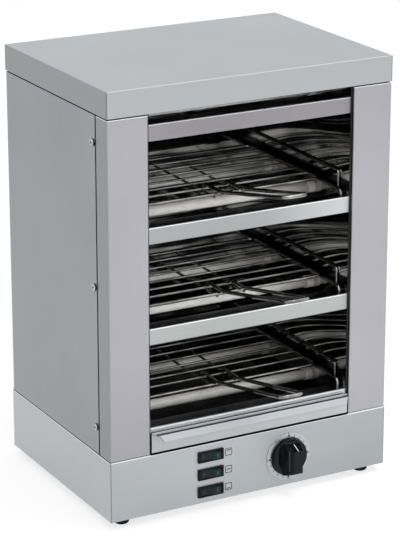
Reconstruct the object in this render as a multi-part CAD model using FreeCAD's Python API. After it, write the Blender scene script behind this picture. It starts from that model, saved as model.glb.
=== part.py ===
# Three-deck commercial toaster: a sheet steel cabinet on a switch base, with quartz heating
# tubes, three wire racks that slide out on wire guides, and a crumb tray under them.
# Millimetres. X to the right, Y to the back, Z up. Z is 0 under the feet, X is 0 at the middle.

import FreeCAD
import Part
import math
import os

os.makedirs("parts", exist_ok=True)

Vector = FreeCAD.Vector

# cabinet
body_width = 360.0
body_depth = 260.0
body_height = 495.0
base_height = 72.0
cap_height = 30.0
sheet = 1.0
sheet_bend = 2.0
cap_edge = 1.2
hem_width = 14.0
deck_sheet = 0.8
roof_sheet = 1.5
shadow_inset = 4.0

# feet
foot_height = 10.0
foot_radius = 9.5
foot_taper = 1.0
foot_edge = 3.0
foot_side_inset = 21.5
foot_front_inset = 17.5
foot_rear_inset = 17.5

# front pillars and side panels
pillar_width = 50.0
pillar_side_return = 26.0
pillar_inner_return = 24.0
screw_strip_depth = 28.0
screw_strip_overlap = 8.0
panel_seam = 2.0
panel_rear_flange = 15.0

# crossbars and sill
sill_top = 102.0
bar_roof_gap = 12.0
bar_height = 19.0
bar_setback = 5.0
bar_top_flange = 20.0
bar_bottom_flange = 10.0
sill_height = 5.4
bar_bend = 1.6

# oven lining
cavity_half_width = 128.0
liner_sheet = 0.8
liner_bend = 1.2
liner_front = 3.0
liner_rear_gap = 6.0

# heating tubes
tube_radius = 6.0
tube_bore_radius = 5.0
tube_front = 84.0
tube_spacing = 100.0
tube_drop = 7.3
end_cap_radius = 7.2
end_cap_inside = 9.0
end_cap_outside = 12.0
end_cap_floor = 4.0
end_cap_hole_clearance = 0.3
tube_cap_clearance = 0.15
coil_radius = 3.6
coil_bore_radius = 2.4
lead_hole_radius = 1.6

# wire racks
rack_frame_wire = 4.0
rack_long_wire = 3.0
rack_depth = 162.0
rack_first_gap = 27.0
rack_wire_pitch = 22.5
rack_corner_radius = 7.0
cross_wire_offset = 17.5
wire_weld = 0.4
rack_set_back = {"top": 57.0, "middle": 49.0, "bottom": 60.0}
rack_guide_clearance = 0.3
rack_post_clearance = 1.2

# wire guides on the oven walls
guide_wire = 4.0
guide_upper_wire = 3.0
guide_wall_gap = 0.2
guide_wire_overlap = 1.0
guide_height = {"top": 6.2, "middle": 7.0, "bottom": 9.5}
guide_upper_height = 26.5
guide_leg_front = 15.0
guide_post_front = 25.0
guide_bend = 5.0
guide_post_bend = 4.0

# rack handles
handle_rod = 4.5
handle_half_width = 13.5
handle_run = 150.0
handle_tilt_deg = 12.0
handle_flat_front = 8.0
handle_end_bend = 8.0
handle_knee_bend = 20.0
handle_lift = 0.1

# crumb tray
tray_half_width = 125.0
tray_face_half_width = 128.3
tray_face_height = 23.4
tray_base_gap = 2.0
tray_wall_height = 11.0
tray_rear_gap = 5.0
tray_bead_gap = 0.3
tray_bead_offset = 100.0
tray_bead_width = 8.0
tray_bead_end_inset = 12.0
lip_depth = 9.5
lip_drop = 6.8
lip_out = 4.4
lip_sheet = 1.2
lip_bend = 1.8
lip_root_half_width = 127.5
lip_corner_half_width = 123.2
lip_edge_half_width = 118.2

# timer
timer_x = 49.2
timer_z = 35.0
dial_radius = 29.0
dial_thickness = 0.8
knob_radius = 23.2
knob_front_radius = 22.0
knob_skirt = 4.2
knob_height = 22.6
knob_gap = 0.7
knob_edge = 0.8
knob_grip_half_front = 5.4
knob_grip_half_neck = 7.0
knob_grip_half_base = 10.5
knob_grip_half_length_front = 13.6
knob_grip_half_length_shoulder = 19.2
knob_grip_half_length_base = 20.6
knob_grip_shoulder = 9.5
knob_shoulder_rounding = 2.0
knob_front_rounding = 1.5
knob_bore_depth = 15.0
shaft_radius = 3.0
shaft_running_clearance = 0.05
shaft_length_in_body = 12.0
timer_bush_radius = 4.8
timer_body_width = 46.0
timer_body_height = 44.0
timer_body_depth = 32.0
panel_hole_clearance = 0.3

# rocker switches
switch_x = -53.5
switch_pitch = 21.3
bezel_length = 33.0
bezel_height = 13.6
bezel_proud = 2.2
bezel_border_x = 2.6
bezel_border_z = 2.0
switch_body_depth = 20.0
bezel_edge = 0.9
switch_cut_margin = 1.0
switch_well_depth = 9.0
rocker_clearance = 0.35
rocker_tilt_deg = 9.0
rocker_pivot_behind = 3.6
rocker_stand = 3.4
rocker_valley = 1.6
rocker_flank = 4.0
rocker_tip_rounding = 0.8
rocker_valley_rounding = 18.0
rocker_back_rounding = 1.0
rocker_foot_half_width = 3.5
rocker_foot_depth = 3.0
rocker_pin_radius = 1.3
rocker_pin_clearance = 0.05
rocker_pin_reach = 0.5
terminal_blade_length = 8.0
terminal_blade_width = 4.8
terminal_blade_thickness = 0.8
terminal_blade_pitch = 9.0

# fasteners
screw_head_radius = 4.1
screw_head_height = 2.2
screw_head_rounding = 1.0
screw_shank_radius = 1.9
screw_slot_width = 1.2
screw_slot_depth = 1.0
screw_hole_clearance = 0.15
side_screw_set_back = 34.0
side_screw_end_inset = 31.0
side_screw_length = 5.0
back_screw_inset = 8.0
back_screw_end_inset = 40.0
back_screw_length = 5.0

# rear of the base
gland_side_inset = 60.0
gland_z = 27.0
gland_hex_radius = 11.0
gland_hex_length = 6.0
gland_dome_radius = 8.5
gland_dome_tip_radius = 6.5
gland_dome_length = 8.0
gland_thread_radius = 7.5
gland_thread_length = 12.0
gland_bore_radius = 4.0
gland_nut_length = 4.0

# vents and the terminal block
vent_slots = 9
vent_slot_width = 4.0
vent_slot_length = 46.0
vent_slot_pitch = 12.0
vent_rows = 2
vent_row_pitch = 70.0
vent_first_row_from_top = 48.0
terminal_block_side_inset = 96.0
terminal_block_from_rear = 62.0
terminal_block_poles = 3
terminal_pole_width = 11.0
terminal_block_depth = 20.0
terminal_block_height = 16.0
terminal_screw_radius = 2.2
terminal_screw_inset = 6.0

# places that follow from the sizes above
half_width = body_width / 2
opening_half_width = half_width - pillar_width
base_bottom = foot_height
base_top = base_bottom + base_height
deck_top = base_top + deck_sheet
cap_top = base_bottom + body_height
cap_bottom = cap_top - cap_height
roof_bottom = cap_bottom - roof_sheet
cavity_depth = body_depth - liner_rear_gap
gland_x = half_width - gland_side_inset
terminal_block_x = half_width - terminal_block_side_inset
lowest_bar_top = base_bottom + sill_top
highest_bar_top = roof_bottom - bar_roof_gap
deck_pitch = (highest_bar_top - lowest_bar_top) / 3
bar_tops = {
    "sill": lowest_bar_top,
    "lower": lowest_bar_top + deck_pitch,
    "upper": lowest_bar_top + 2 * deck_pitch,
    "top": highest_bar_top,
}
rack_floor = {"bottom": bar_tops["sill"], "middle": bar_tops["lower"], "top": bar_tops["upper"]}
post_x = cavity_half_width - guide_wall_gap - guide_upper_wire / 2
guide_x = post_x - guide_upper_wire / 2 - guide_wire / 2 + guide_wire_overlap
rack_half_width = post_x - guide_upper_wire / 2 - rack_post_clearance - rack_frame_wire / 2
rack_guide_reach = guide_wire / 2 + rack_guide_clearance + rack_frame_wire / 2
rack_above_guide = math.sqrt(rack_guide_reach ** 2 - (guide_x - rack_half_width) ** 2)
rack_height = {deck: rack_floor[deck] + guide_height[deck] + rack_above_guide for deck in rack_floor}
handle_height = (rack_frame_wire + handle_rod) / 2 + handle_lift
front_overhang = handle_run + handle_rod / 2 - min(rack_set_back.values())
rear_overhang = gland_hex_length + gland_dome_length
front_y = (front_overhang - body_depth - rear_overhang) / 2
back_y = front_y + body_depth
tilt = math.radians(handle_tilt_deg)


def at_front(distance):
    return front_y + distance


def save(node, shape):
    shape.exportStep("parts/" + node + ".step")
    print(node, "solids", len(shape.Solids), "valid", shape.isValid(), "volume", round(shape.Volume, 1))


def block(x_low, x_high, y_low, y_high, z_low, z_high):
    corner = Vector(x_low, y_low, z_low)
    return Part.makeBox(x_high - x_low, y_high - y_low, z_high - z_low, corner)


def pin(start, end, radius):
    direction = end - start
    return Part.makeCylinder(radius, direction.Length, start, direction)


def joined(shapes):
    if len(shapes) == 1:
        return shapes[0]
    return shapes[0].fuse(shapes[1:]).removeSplitter()


def mirrored(shape):
    return shape.mirror(Vector(0, 0, 0), Vector(1, 0, 0))


def rounded_edges(points, radii, closed):
    """Straight runs through the points, with a tangent arc of the given radius at each one."""
    count = len(points)
    starts = []
    ends = []
    arcs = []
    for index in range(count):
        here = points[index]
        radius = radii[index]
        is_end = not closed and index in (0, count - 1)
        if radius <= 0 or is_end:
            starts.append(here)
            ends.append(here)
            arcs.append(None)
            continue
        back = (points[index - 1] - here).normalize()
        ahead = (points[(index + 1) % count] - here).normalize()
        half_angle = back.getAngle(ahead) / 2
        reach = radius / math.tan(half_angle)
        middle = (back + ahead).normalize()
        centre_distance = radius / math.sin(half_angle)
        start = here + back * reach
        end = here + ahead * reach
        starts.append(start)
        ends.append(end)
        arcs.append(Part.Arc(start, here + middle * (centre_distance - radius), end).toShape())
    edges = []
    for index in range(count):
        if arcs[index] is not None:
            edges.append(arcs[index])
        if index == count - 1 and not closed:
            break
        following = (index + 1) % count
        if ends[index].distanceToPoint(starts[following]) > 0.001:
            edges.append(Part.LineSegment(ends[index], starts[following]).toShape())
    return edges


def bent_wire(points, radii, diameter):
    """A round wire swept along straight runs and tangent bends."""
    path = Part.Wire(rounded_edges(points, radii, False))
    direction = points[1] - points[0]
    section = Part.Wire(Part.makeCircle(diameter / 2, points[0], direction))
    return path.makePipeShell([section], True, False)


def closed_wire(points, radius, diameter):
    """A round wire welded into a loop: straight lengths and a quarter torus at each corner."""
    pieces = []
    edges = rounded_edges(points, [radius] * len(points), True)
    for edge in edges:
        start = edge.firstVertex(True).Point
        direction = edge.tangentAt(edge.FirstParameter)
        section = Part.Wire(Part.makeCircle(diameter / 2, start, direction))
        pieces.append(Part.Wire([edge]).makePipeShell([section], True, False))
    return joined(pieces)


def flat_outline(points, radii):
    return Part.Face(Part.Wire(rounded_edges(points, radii, True)))


def bent_sheet(points, normal, thickness, bend):
    """The section of a folded sheet: its outer face follows the points, its metal lies to the left."""
    count = len(points)
    offsets = []
    for index in range(count - 1):
        run = (points[index + 1] - points[index]).normalize()
        offsets.append(normal.cross(run) * thickness)
    inner = [points[0] + offsets[0]]
    outer_radii = [0.0]
    inner_radii = [0.0]
    for index in range(1, count - 1):
        first = offsets[index - 1]
        second = offsets[index]
        total = first + second
        scale = 2 * thickness * thickness / total.dot(total)
        inner.append(points[index] + total * scale)
        turn = (points[index] - points[index - 1]).cross(points[index + 1] - points[index])
        if turn.dot(normal) > 0:
            outer_radii.append(bend)
            inner_radii.append(max(bend - thickness, 0.0))
        else:
            outer_radii.append(max(bend - thickness, 0.0))
            inner_radii.append(bend)
    inner.append(points[-1] + offsets[-1])
    outer_radii.append(0.0)
    inner_radii.append(0.0)
    return flat_outline(points + inner[::-1], outer_radii + inner_radii[::-1])


def ring(x_half, y_low, y_high, z_low, z_high, width):
    """A flat rectangular ring, as the hem of a folded box has."""
    outer = block(-x_half, x_half, y_low, y_high, z_low, z_high)
    inner = block(width - x_half, x_half - width, y_low + width, y_high - width, z_low, z_high)
    return outer.cut(inner)


def feet():
    solids = []
    for x in (foot_side_inset - half_width, half_width - foot_side_inset):
        for y in (at_front(foot_front_inset), back_y - foot_rear_inset):
            foot = Part.makeCone(foot_radius - foot_taper, foot_radius, foot_height, Vector(x, y, 0))
            rims = [edge for edge in foot.Edges if edge.BoundBox.ZMax < foot_height / 2]
            solids.append(foot.makeFillet(foot_edge, rims))
    return Part.makeCompound(solids)


def switch_heights():
    middle = base_bottom + timer_z
    return {"top": middle + switch_pitch, "middle": middle, "bottom": middle - switch_pitch}


def base_shell():
    walls = ring(half_width, front_y, back_y, base_bottom, base_top, sheet)
    hem = ring(half_width, front_y, back_y, base_top - sheet, base_top, hem_width)
    shell = joined([walls, hem])
    cut_x = bezel_length / 2 - switch_cut_margin
    cut_z = bezel_height / 2 - switch_cut_margin
    openings = []
    for height in switch_heights().values():
        openings.append(block(switch_x - cut_x, switch_x + cut_x, front_y - sheet, front_y + 2 * sheet,
                              height - cut_z, height + cut_z))
    bush_hole = timer_bush_radius + panel_hole_clearance
    openings.append(pin(timer_point(-sheet), timer_point(2 * sheet), bush_hole))
    gland_hole = gland_thread_radius + panel_hole_clearance
    openings.append(pin(gland_point(-2 * sheet), gland_point(sheet), gland_hole))
    return shell.cut(openings)


def bottom_plate():
    x = half_width - sheet
    return block(-x, x, front_y + sheet, back_y - sheet, base_bottom, base_bottom + sheet)


def base_deck():
    x = half_width - shadow_inset
    return block(-x, x, front_y + shadow_inset, back_y - shadow_inset, base_top, deck_top)


def top_reflector():
    x = half_width - shadow_inset
    return block(-x, x, front_y + shadow_inset, back_y - shadow_inset, roof_bottom, cap_bottom)


def top_cover():
    outer = block(-half_width, half_width, front_y, back_y, cap_bottom, cap_top)
    top_edges = [edge for edge in outer.Edges if edge.BoundBox.ZMin > cap_top - sheet / 2]
    outer = outer.makeFillet(cap_edge, top_edges)
    x = half_width - sheet
    inner = block(-x, x, front_y + sheet, back_y - sheet, cap_bottom - sheet, cap_top - sheet)
    hem = ring(half_width - sheet, front_y + sheet, back_y - sheet, cap_bottom, cap_bottom + sheet,
               hem_width - sheet)
    return joined([outer.cut(inner), hem])


def side_screw_heights():
    low = deck_top + side_screw_end_inset
    high = roof_bottom - side_screw_end_inset
    return [low, (low + high) / 2, high]


def back_screw_heights():
    return [deck_top + back_screw_end_inset, roof_bottom - back_screw_end_inset]


def side_screw_holes():
    holes = []
    for height in side_screw_heights():
        inside = Vector(half_width - 3 * sheet, at_front(side_screw_set_back), height)
        outside = Vector(half_width + sheet, at_front(side_screw_set_back), height)
        holes.append(pin(inside, outside, screw_shank_radius + screw_hole_clearance))
    return holes


def back_screw_holes():
    holes = []
    for x in (back_screw_inset - half_width, half_width - back_screw_inset):
        for height in back_screw_heights():
            inside = Vector(x, back_y - 3 * sheet, height)
            outside = Vector(x, back_y + sheet, height)
            holes.append(pin(inside, outside, screw_shank_radius + screw_hole_clearance))
    return holes


def upright_sheet(points, thickness, bend):
    """A folded sheet that stands between the base deck and the roof."""
    section = bent_sheet([Vector(x, y, deck_top) for x, y in points], Vector(0, 0, 1), thickness, bend)
    return section.extrude(Vector(0, 0, roof_bottom - deck_top))


def front_pillar_right():
    points = [
        (opening_half_width, at_front(pillar_inner_return)),
        (opening_half_width, front_y),
        (half_width, front_y),
        (half_width, at_front(pillar_side_return)),
    ]
    strip_start = pillar_side_return - screw_strip_overlap
    strip = block(half_width - 2 * sheet, half_width - sheet, at_front(strip_start),
                  at_front(strip_start + screw_strip_depth), deck_top, roof_bottom)
    pillar = joined([upright_sheet(points, sheet, sheet_bend), strip])
    return pillar.cut(side_screw_holes())


def side_panel_right():
    points = [
        (half_width, at_front(pillar_side_return + panel_seam)),
        (half_width, back_y - sheet),
        (half_width - panel_rear_flange, back_y - sheet),
    ]
    panel = upright_sheet(points, sheet, sheet_bend)
    return panel.cut(side_screw_holes() + back_screw_holes())


def back_panel():
    x = half_width - sheet_bend - panel_seam
    panel = block(-x, x, back_y - sheet, back_y, deck_top, roof_bottom)
    slots = []
    for row in range(vent_rows):
        high = roof_bottom - vent_first_row_from_top - row * vent_row_pitch
        low = high - vent_slot_length + vent_slot_width
        for column in range(vent_slots):
            slot_x = (column - (vent_slots - 1) / 2) * vent_slot_pitch
            half = vent_slot_width / 2
            slots.append(block(slot_x - half, slot_x + half, back_y - 2 * sheet, back_y + sheet, low, high))
            for end in (low, high):
                inside = Vector(slot_x, back_y - 2 * sheet, end)
                slots.append(pin(inside, Vector(slot_x, back_y + sheet, end), half))
    return panel.cut(slots + back_screw_holes())


def tube_places():
    """The tube centres: level name, then front and rear."""
    places = {}
    for level, top in bar_tops.items():
        height = top - tube_drop
        places[level] = {"front": (at_front(tube_front), height),
                         "rear": (at_front(tube_front + tube_spacing), height)}
    return places


def liner_right():
    points = [
        (cavity_half_width, at_front(cavity_depth)),
        (cavity_half_width, at_front(liner_front)),
        (opening_half_width, at_front(liner_front)),
    ]
    liner = upright_sheet(points, liner_sheet, liner_bend)
    holes = []
    for pair in tube_places().values():
        for y, z in pair.values():
            inside = Vector(cavity_half_width - sheet, y, z)
            outside = Vector(cavity_half_width + 2 * sheet, y, z)
            holes.append(pin(inside, outside, end_cap_radius + end_cap_hole_clearance))
    return liner.cut(holes)


def liner_back():
    x = cavity_half_width + liner_sheet
    return block(-x, x, at_front(cavity_depth), at_front(cavity_depth + liner_sheet), deck_top, roof_bottom)


def crossbar(top, height, bottom_flange):
    """A folded bar across the opening, from one side lining to the other."""
    face = at_front(bar_setback)
    points = [(face + bar_top_flange, top), (face, top), (face, top - height)]
    if bottom_flange > 0:
        points.append((face + bottom_flange, top - height))
    outline = [Vector(-cavity_half_width, y, z) for y, z in points]
    section = bent_sheet(outline, Vector(1, 0, 0), sheet, bar_bend)
    return section.extrude(Vector(2 * cavity_half_width, 0, 0))


def quartz_tube(y, z):
    reach = cavity_half_width + end_cap_outside - end_cap_floor
    outer = pin(Vector(-reach, y, z), Vector(reach, y, z), tube_radius)
    return outer.cut(pin(Vector(-reach, y, z), Vector(reach, y, z), tube_bore_radius))


def heating_coil(y, z):
    """The space a wound heating wire takes in its tube: a sleeve with a plug and a lead at each end."""
    reach = cavity_half_width + end_cap_outside - end_cap_floor
    lead = reach + end_cap_floor + end_cap_outside / 2
    coil = pin(Vector(-reach, y, z), Vector(reach, y, z), coil_radius)
    coil = coil.cut(pin(Vector(-reach, y, z), Vector(reach, y, z), coil_bore_radius))
    pieces = [coil]
    for side in (-1, 1):
        plug = Vector(side * (reach - end_cap_floor), y, z)
        end = Vector(side * reach, y, z)
        pieces.append(pin(plug, end, coil_bore_radius))
        pieces.append(pin(plug, Vector(side * lead, y, z), lead_hole_radius - tube_cap_clearance))
    return joined(pieces)


def end_cap(y, z, side):
    inner = Vector(side * (cavity_half_width - end_cap_inside), y, z)
    outer = Vector(side * (cavity_half_width + end_cap_outside), y, z)
    floor = Vector(side * (cavity_half_width + end_cap_outside - end_cap_floor), y, z)
    cap = pin(inner, outer, end_cap_radius)
    cap = cap.cut(pin(inner, floor, tube_radius + tube_cap_clearance))
    return cap.cut(pin(inner, outer, lead_hole_radius))


def rack(deck):
    """A welded wire shelf: a frame loop, wires across it and two ribs under them."""
    front = at_front(rack_set_back[deck])
    back = front + rack_depth
    z = rack_height[deck]
    corners = [
        Vector(-rack_half_width, front, z),
        Vector(rack_half_width, front, z),
        Vector(rack_half_width, back, z),
        Vector(-rack_half_width, back, z),
    ]
    pieces = [closed_wire(corners, rack_corner_radius, rack_frame_wire)]
    count = int((rack_depth - rack_first_gap - rack_frame_wire) / rack_wire_pitch) + 1
    for index in range(count):
        y = front + rack_first_gap + index * rack_wire_pitch
        start = Vector(-rack_half_width, y, z)
        pieces.append(pin(start, Vector(rack_half_width, y, z), rack_long_wire / 2))
    rib_z = z - rack_long_wire + wire_weld
    for x in (-cross_wire_offset, cross_wire_offset):
        pieces.append(pin(Vector(x, front, rib_z), Vector(x, back, rib_z), rack_long_wire / 2))
    return joined(pieces)


def rack_handle(deck):
    """One bent rod: two arms over the front wires, hooked round the second, and a loop in front."""
    front = at_front(rack_set_back[deck])
    second = front + rack_first_gap
    high = rack_height[deck] + handle_height
    low = rack_height[deck] - handle_height
    knee = front - handle_flat_front
    end = front - handle_run
    end_high = high + (knee - end) * math.tan(tilt)
    arm = [
        (second - handle_rod / 2, low, 0.0),
        (second + handle_height, low, handle_height),
        (second + handle_height, high, handle_height),
        (knee, high, handle_knee_bend),
        (end, end_high, handle_end_bend),
    ]
    points = [Vector(handle_half_width, y, z) for y, z, bend in arm]
    points += [Vector(-handle_half_width, y, z) for y, z, bend in arm[::-1]]
    radii = [bend for y, z, bend in arm]
    return bent_wire(points, radii + radii[::-1], handle_rod)


def rack_guide_right(deck):
    """A support wire with a leg on the bar, and a lighter wire above it that keeps the rack level."""
    floor = rack_floor[deck]
    low = floor + guide_height[deck]
    high = floor + guide_upper_height
    rear = at_front(cavity_depth)
    leg = at_front(guide_leg_front)
    post = at_front(guide_post_front)
    support_points = [Vector(guide_x, rear, low), Vector(guide_x, leg, low), Vector(guide_x, leg, floor)]
    support = bent_wire(support_points, [0, min(guide_bend, low - floor - sheet), 0], guide_wire)
    upper_points = [Vector(post_x, rear, high), Vector(post_x, post, high), Vector(post_x, post, low)]
    upper = bent_wire(upper_points, [0, guide_post_bend, 0], guide_upper_wire)
    return joined([support, upper])


def crumb_tray():
    """A shallow pan with a tall front, two beads to slide on, and a lip across the front to pull."""
    low = base_top + tray_base_gap
    face_top = low + tray_face_height
    back = at_front(cavity_depth - tray_rear_gap)
    pan = block(-tray_half_width, tray_half_width, front_y, back, low, low + tray_wall_height)
    x = tray_half_width - sheet
    hollow = block(-x, x, front_y + sheet, back - sheet, low + sheet, low + tray_wall_height + sheet)
    face = block(-tray_face_half_width, tray_face_half_width, front_y, front_y + sheet, low, face_top)
    pieces = [pan.cut(hollow), face, tray_lip(face_top)]
    for bead_x in (-tray_bead_offset, tray_bead_offset):
        half = tray_bead_width / 2
        pieces.append(block(bead_x - half, bead_x + half, front_y + tray_bead_end_inset,
                            back - tray_bead_end_inset, deck_top + tray_bead_gap, low + sheet / 2))
    return joined(pieces)


def tray_lip(top):
    points = [(front_y - lip_depth - lip_out, top - lip_drop), (front_y - lip_depth, top), (front_y, top)]
    outline = [Vector(-lip_root_half_width, y, z) for y, z in points[::-1]]
    lip = bent_sheet(outline, Vector(1, 0, 0), lip_sheet, lip_bend)
    lip = lip.extrude(Vector(2 * lip_root_half_width, 0, 0))
    plan = [
        (lip_root_half_width, front_y),
        (lip_corner_half_width, front_y - lip_depth),
        (lip_edge_half_width, front_y - lip_depth - lip_out - lip_sheet),
    ]
    low = top - lip_drop - 2 * lip_sheet
    corners = [Vector(x, y, low) for x, y in plan] + [Vector(-x, y, low) for x, y in plan[::-1]]
    envelope = flat_outline(corners, [0.0] * len(corners)).extrude(Vector(0, 0, lip_drop + 4 * lip_sheet))
    return lip.common(envelope)


def timer_point(distance):
    """A point on the timer's axis, at this distance behind the front of the base."""
    return Vector(timer_x, front_y + distance, base_bottom + timer_z)


def gland_point(distance):
    """A point on the gland's axis, at this distance outside the rear of the base."""
    return Vector(gland_x, back_y + distance, base_bottom + gland_z)


def dial_plate():
    front = timer_point(-dial_thickness)
    plate = pin(front, timer_point(0), dial_radius)
    return plate.cut(pin(front, timer_point(0), timer_bush_radius + panel_hole_clearance))


def timer_body():
    x = timer_body_width / 2
    z = timer_body_height / 2
    centre = base_bottom + timer_z
    case = block(timer_x - x, timer_x + x, front_y + sheet, front_y + sheet + timer_body_depth,
                 centre - z, centre + z)
    bush = pin(timer_point(-dial_thickness), timer_point(2 * sheet), timer_bush_radius)
    bore_end = sheet + shaft_length_in_body + panel_hole_clearance
    bore = pin(timer_point(-dial_thickness), timer_point(bore_end), shaft_radius + shaft_running_clearance)
    return joined([case, bush]).cut(bore)


def timer_shaft():
    front = -dial_thickness - knob_gap - knob_bore_depth + panel_hole_clearance
    return pin(timer_point(front), timer_point(sheet + shaft_length_in_body), shaft_radius)


def timer_knob():
    back = front_y - dial_thickness - knob_gap
    skirt_front = back - knob_skirt
    front = back - knob_height
    shoulder = back - knob_grip_shoulder
    centre = base_bottom + timer_z
    skirt = Part.makeCone(knob_radius, knob_front_radius, knob_skirt, Vector(timer_x, back, centre),
                          Vector(0, -1, 0))
    front_edges = [edge for edge in skirt.Edges if edge.BoundBox.YMax < back - knob_skirt / 2]
    skirt = skirt.makeFillet(knob_edge, front_edges)
    middle = (skirt_front + front) / 2
    low = centre - knob_radius
    flanks = []
    for side in (-1, 1):
        flanks.append(Part.Arc(Vector(timer_x + side * knob_grip_half_base, skirt_front + knob_edge, low),
                               Vector(timer_x + side * knob_grip_half_neck, middle, low),
                               Vector(timer_x + side * knob_grip_half_front, front, low)).toShape())
    left, right = [[vertex.Point for vertex in flank.Vertexes] for flank in flanks]
    bridge_front = Part.LineSegment(left[1], right[1]).toShape()
    bridge_back = Part.LineSegment(left[0], right[0]).toShape()
    section = Part.Face(Part.Wire([flanks[0], bridge_front, flanks[1], bridge_back]))
    grip = section.extrude(Vector(0, 0, 2 * knob_radius))
    profile = [
        (skirt_front + knob_edge, knob_grip_half_length_base),
        (shoulder, knob_grip_half_length_shoulder),
        (front, knob_grip_half_length_front),
    ]
    side_x = timer_x - knob_radius
    corners = [Vector(side_x, y, centre + z) for y, z in profile]
    corners += [Vector(side_x, y, centre - z) for y, z in profile[::-1]]
    radii = [0.0, knob_shoulder_rounding, knob_front_rounding]
    side_view = flat_outline(corners, radii + radii[::-1])
    grip = grip.common(side_view.extrude(Vector(2 * knob_radius, 0, 0)))
    mouth = -dial_thickness - knob_gap
    bore_radius = shaft_radius + shaft_running_clearance
    bore = pin(timer_point(mouth), timer_point(mouth - knob_bore_depth), bore_radius)
    return joined([skirt, grip]).cut(bore)


def switch_body(height):
    """The switch's bezel, its case behind the panel, the well for the rocker and its terminals."""
    bezel_x = bezel_length / 2
    bezel_z = bezel_height / 2
    bezel = block(switch_x - bezel_x, switch_x + bezel_x, front_y - bezel_proud, front_y,
                  height - bezel_z, height + bezel_z)
    front_edges = [edge for edge in bezel.Edges
                   if edge.BoundBox.YMax - edge.BoundBox.YMin > bezel_proud / 2
                   or edge.BoundBox.YMax < front_y - bezel_proud / 2]
    bezel = bezel.makeFillet(bezel_edge, front_edges)
    case_x = bezel_x - switch_cut_margin - panel_hole_clearance
    case_z = bezel_z - switch_cut_margin - panel_hole_clearance
    case_back = front_y + sheet + switch_body_depth
    case = block(switch_x - case_x, switch_x + case_x, front_y, case_back, height - case_z, height + case_z)
    pieces = [bezel, case]
    for index in (-1, 0, 1):
        x = switch_x + index * terminal_blade_pitch
        pieces.append(block(x - terminal_blade_thickness / 2, x + terminal_blade_thickness / 2,
                            case_back, case_back + terminal_blade_length,
                            height - terminal_blade_width / 2, height + terminal_blade_width / 2))
    well_x = bezel_x - bezel_border_x
    well_z = bezel_z - bezel_border_z
    well = block(switch_x - well_x, switch_x + well_x, front_y - 2 * bezel_proud,
                 front_y + switch_well_depth, height - well_z, height + well_z)
    pivot_y = front_y + rocker_pivot_behind
    pin_bearings = pin(Vector(switch_x, pivot_y, height - bezel_z),
                       Vector(switch_x, pivot_y, height + bezel_z),
                       rocker_pin_radius + rocker_pin_clearance)
    return joined(pieces).cut([well, pin_bearings])


def rocker(height):
    """A two-faced rocker on two moulded pins, turned so that its left end is pressed in."""
    angle = math.radians(rocker_tilt_deg)
    tip = rocker_pivot_behind + rocker_stand
    well_x = bezel_length / 2 - bezel_border_x
    reach = (well_x - rocker_clearance - tip * math.sin(angle)) / math.cos(angle)
    half = bezel_height / 2 - bezel_border_z - rocker_clearance
    outline = [
        (-reach, tip),
        (0, rocker_pivot_behind + rocker_valley),
        (reach, tip),
        (reach, tip - rocker_flank),
        (rocker_foot_half_width, -rocker_foot_depth),
        (-rocker_foot_half_width, -rocker_foot_depth),
        (-reach, tip - rocker_flank),
    ]
    pivot_y = front_y + rocker_pivot_behind
    points = [Vector(switch_x + x, pivot_y - out, height - half) for x, out in outline]
    radii = [rocker_tip_rounding, rocker_valley_rounding, rocker_tip_rounding] + [rocker_back_rounding] * 4
    body = flat_outline(points, radii).extrude(Vector(0, 0, 2 * half))
    pin_half = half + rocker_clearance + rocker_pin_reach
    pins = pin(Vector(switch_x, pivot_y, height - pin_half), Vector(switch_x, pivot_y, height + pin_half),
               rocker_pin_radius)
    shape = joined([body, pins])
    shape.rotate(Vector(switch_x, pivot_y, height), Vector(0, 0, 1), -rocker_tilt_deg)
    return shape


def pan_screw(seat, direction, length):
    """A pan head screw with a cross recess, its head seated at this point."""
    head = Part.makeCylinder(screw_head_radius, screw_head_height)
    rim = [edge for edge in head.Edges if edge.BoundBox.ZMin > screw_head_height / 2]
    head = head.makeFillet(min(screw_head_rounding, 0.9 * screw_head_height), rim)
    shank = Part.makeCylinder(screw_shank_radius, length, Vector(0, 0, -length))
    slots = []
    for turn in (0, 90):
        slot = block(-screw_shank_radius, screw_shank_radius, -screw_slot_width / 2, screw_slot_width / 2,
                     screw_head_height - screw_slot_depth, 2 * screw_head_height)
        slot.rotate(Vector(0, 0, 0), Vector(0, 0, 1), turn)
        slots.append(slot)
    screw = joined([head, shank]).cut(slots)
    screw.Placement = FreeCAD.Placement(seat, FreeCAD.Rotation(Vector(0, 0, 1), direction))
    return screw


def case_screws():
    screws = []
    for side in (-1, 1):
        for height in side_screw_heights():
            seat = Vector(side * half_width, at_front(side_screw_set_back), height)
            screws.append(pan_screw(seat, Vector(side, 0, 0), side_screw_length))
        for height in back_screw_heights():
            seat = Vector(side * (half_width - back_screw_inset), back_y, height)
            screws.append(pan_screw(seat, Vector(0, 1, 0), back_screw_length))
    return Part.makeCompound(screws)


def hexagon(distance, radius, length):
    """A hexagonal prism on the gland's axis, starting at this distance and running outwards."""
    points = []
    for index in range(6):
        angle = math.radians(60 * index)
        offset = Vector(radius * math.cos(angle), 0, radius * math.sin(angle))
        points.append(gland_point(distance) + offset)
    return flat_outline(points, [0.0] * 6).extrude(Vector(0, length, 0))


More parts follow.
